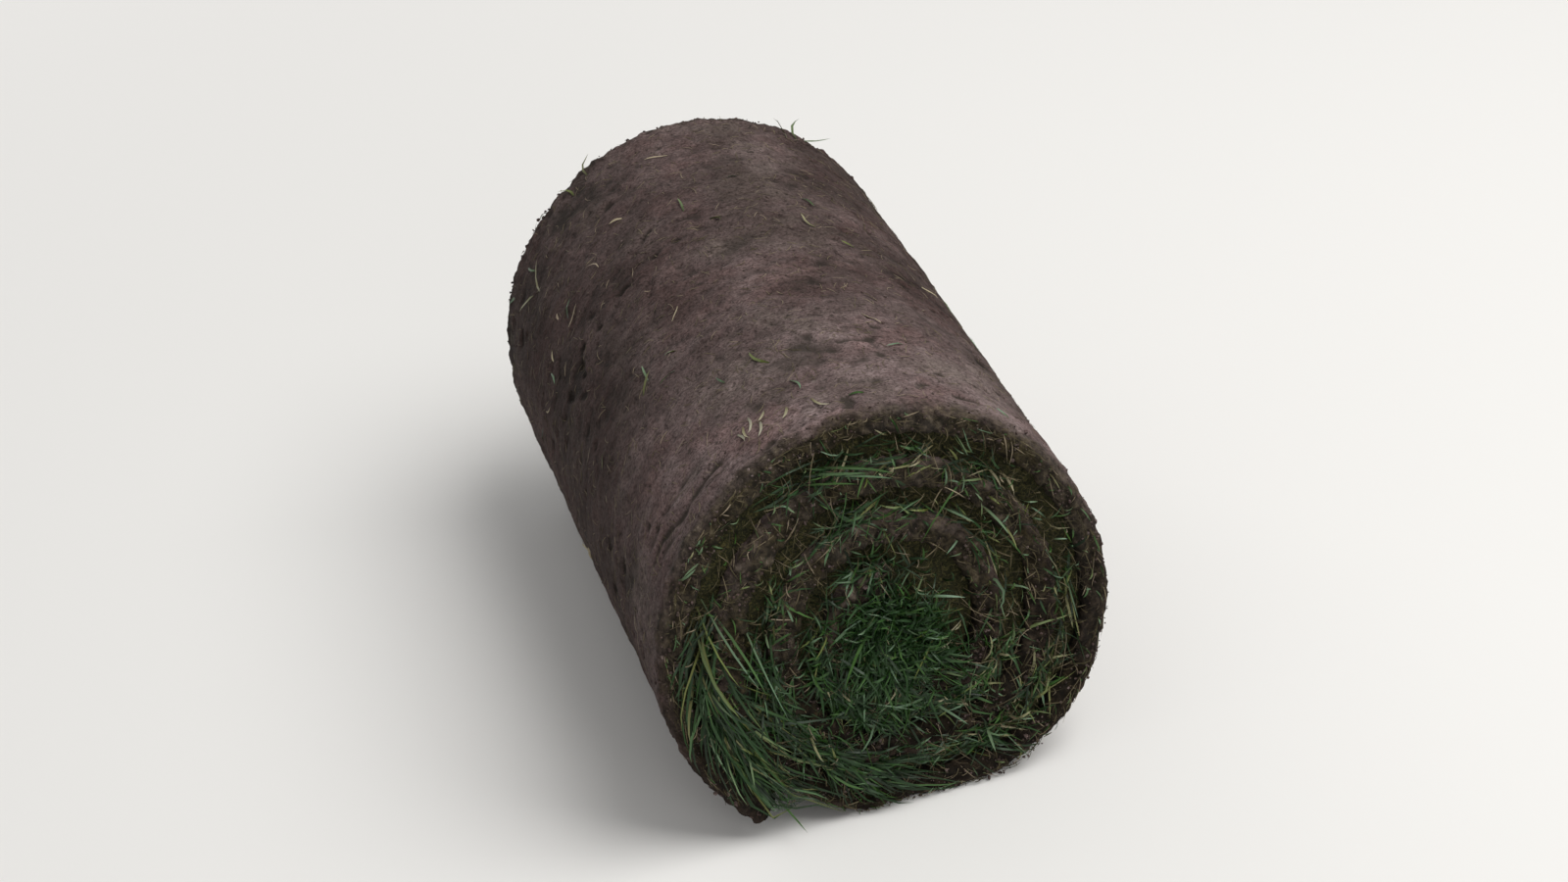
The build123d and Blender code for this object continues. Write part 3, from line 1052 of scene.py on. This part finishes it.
# Pale floor: matt and plain
floor_material, tree, shader = new_material("pale_floor", roughness=0.9)
shader.inputs["Base Color"].default_value = linear(floor_colour)
floor_place = add_node(tree, "ShaderNodeTexCoord", out="Object")
from_roll = add_node(tree, "ShaderNodeVectorMath", {0: floor_place}, operation="LENGTH", out="Value")
far_share = add_node(tree, "ShaderNodeMapRange", {
    "Value": from_roll, "From Min": backdrop_from, "From Max": backdrop_full},
    interpolation_type="SMOOTHSTEP")
seen = add_node(tree, "ShaderNodeLightPath", out="Is Camera Ray")
far_seen = add_node(tree, "ShaderNodeMath", {0: far_share, 1: seen}, operation="MULTIPLY")
backdrop = add_node(tree, "ShaderNodeEmission", {
    "Color": linear(backdrop_colour), "Strength": 1.0})
floor_mix = add_node(tree, "ShaderNodeMixShader", {
    "Fac": far_seen, 1: shader.outputs[0], 2: backdrop})
tree.links.new(floor_mix, tree.nodes["Material Output"].inputs["Surface"])

sheet = flat_sheet((-floor_reach, -floor_reach), (floor_reach, floor_reach), 1, 1)
floor_mesh = bpy.data.meshes.new("floor")
sheet.to_mesh(floor_mesh)
sheet.free()
floor_mesh.materials.append(floor_material)
floor = bpy.data.objects.new("floor", floor_mesh)
bpy.context.scene.collection.objects.link(floor)

world = bpy.data.worlds.new("soft_studio")
world.use_nodes = True
tree = world.node_tree
studio_light = tree.nodes["Background"]
studio_light.inputs["Color"].default_value = linear(studio_colour)
studio_light.inputs["Strength"].default_value = studio_strength
seen = add_node(tree, "ShaderNodeLightPath", out="Is Camera Ray")
backdrop = add_node(tree, "ShaderNodeBackground", {
    "Color": linear(backdrop_colour), "Strength": 1.0})
world_mix = add_node(tree, "ShaderNodeMixShader", {
    "Fac": seen, 1: studio_light.outputs[0], 2: backdrop})
tree.links.new(world_mix, tree.nodes["World Output"].inputs["Surface"])
bpy.context.scene.world = world

# The lamps and the camera.
# Soft square lamps light the roll from the upper right, with weak ones in front and behind. The
# camera looks down on the near end from its left, tilted a little.
roll_centre = Vector((0, 0, 0.118))
lamps = [("key", (2.2, -1.1, 3.75), 3.2, 200), ("front_fill", (0.2, -2.8, 1.2), 1.6, 11),
         ("back_fill", (-0.9, 3.0, 1.0), 1.8, 24)]
view_azimuth = 12.0
view_elevation = 31.0
view_distance = 2.0
view_tilt = -8.0
view_lens = 77
for name, place, size, watts in lamps:
    lamp = bpy.data.lights.new(name, "AREA")
    lamp.size = size
    lamp.energy = watts
    stand = bpy.data.objects.new(name, lamp)
    aim = (roll_centre - Vector(place)).to_track_quat("-Z", "Y")
    stand.matrix_world = Matrix.Translation(place) @ aim.to_matrix().to_4x4()
    bpy.context.scene.collection.objects.link(stand)

azimuth, elevation, tilt = radians(view_azimuth), radians(view_elevation), radians(view_tilt)
away = Vector((-sin(azimuth) * cos(elevation), -cos(azimuth) * cos(elevation), sin(elevation)))
level = Vector((cos(azimuth), -sin(azimuth), 0))
right = level * cos(tilt) + away.cross(level) * sin(tilt)
camera = bpy.data.cameras.new("camera")
camera.lens = view_lens
camera_object = bpy.data.objects.new("camera", camera)
camera_object.matrix_world = (Matrix.Translation(roll_centre + away * view_distance)
                              @ Matrix((right, away.cross(right), away)).transposed().to_4x4())
bpy.context.scene.collection.objects.link(camera_object)
bpy.context.scene.camera = camera_object
